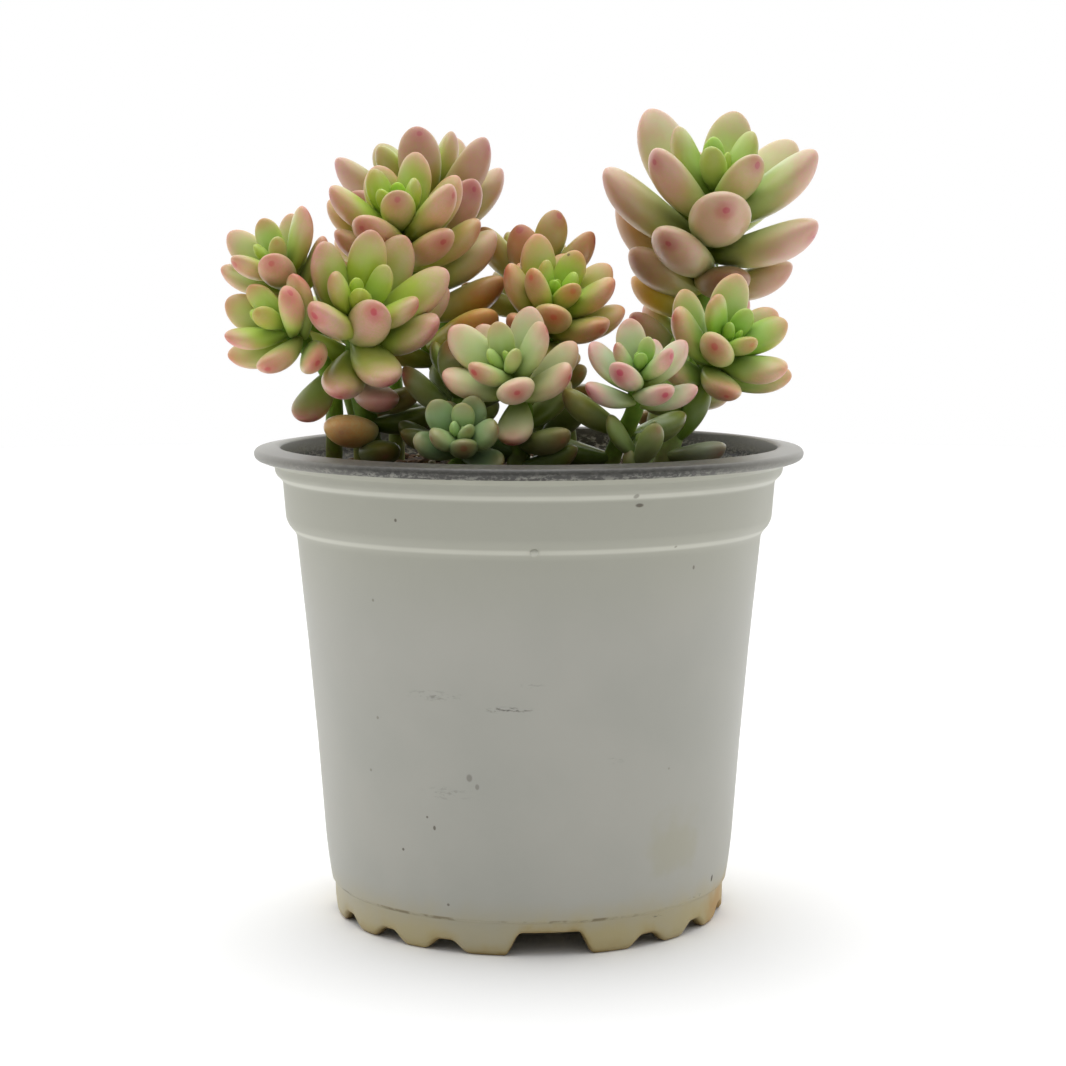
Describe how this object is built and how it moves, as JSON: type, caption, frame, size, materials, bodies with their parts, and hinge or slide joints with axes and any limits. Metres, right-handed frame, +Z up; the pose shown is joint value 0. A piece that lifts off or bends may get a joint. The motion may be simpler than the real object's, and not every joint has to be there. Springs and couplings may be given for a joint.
{
  "type": "potted jelly bean plant",
  "caption": "Clump of leafy succulent stems with plump egg-shaped leaves, growing in a round nursery pot with a wide lip and a notched foot; stands on its foot.",
  "frame": {"origin": "centre of the pot's foot, on the surface that the pot stands on", "axes": "+Z up along the pot's axis, -Y towards the viewer of the picture, +X to the viewer's right"},
  "size_m": [0.1151, 0.106, 0.157],
  "materials": {
    "pot": "satin",
    "soil": "matte",
    "plant": "satin"
  },
  "bodies": {
    "root": {"pot": "pot", "soil": "soil", "leafy_stem_right_tall": "plant", "leafy_stem_left_tall": "plant", "leafy_stem_left_front": "plant", "leafy_stem_left_back": "plant", "leafy_stem_left_low": "plant", "leafy_stem_centre": "plant", "leafy_stem_front": "plant", "leafy_stem_front_right": "plant", "leafy_stem_right_low": "plant", "leafy_stem_offset": "plant", "leafy_stem_offset_right": "plant", "leafy_stem_middle": "plant", "leafy_stem_centre_back": "plant", "leafy_stem_back": "plant", "leafy_stem_back_left": "plant", "leafy_stem_back_right": "plant"}
  },
  "joints": []
}
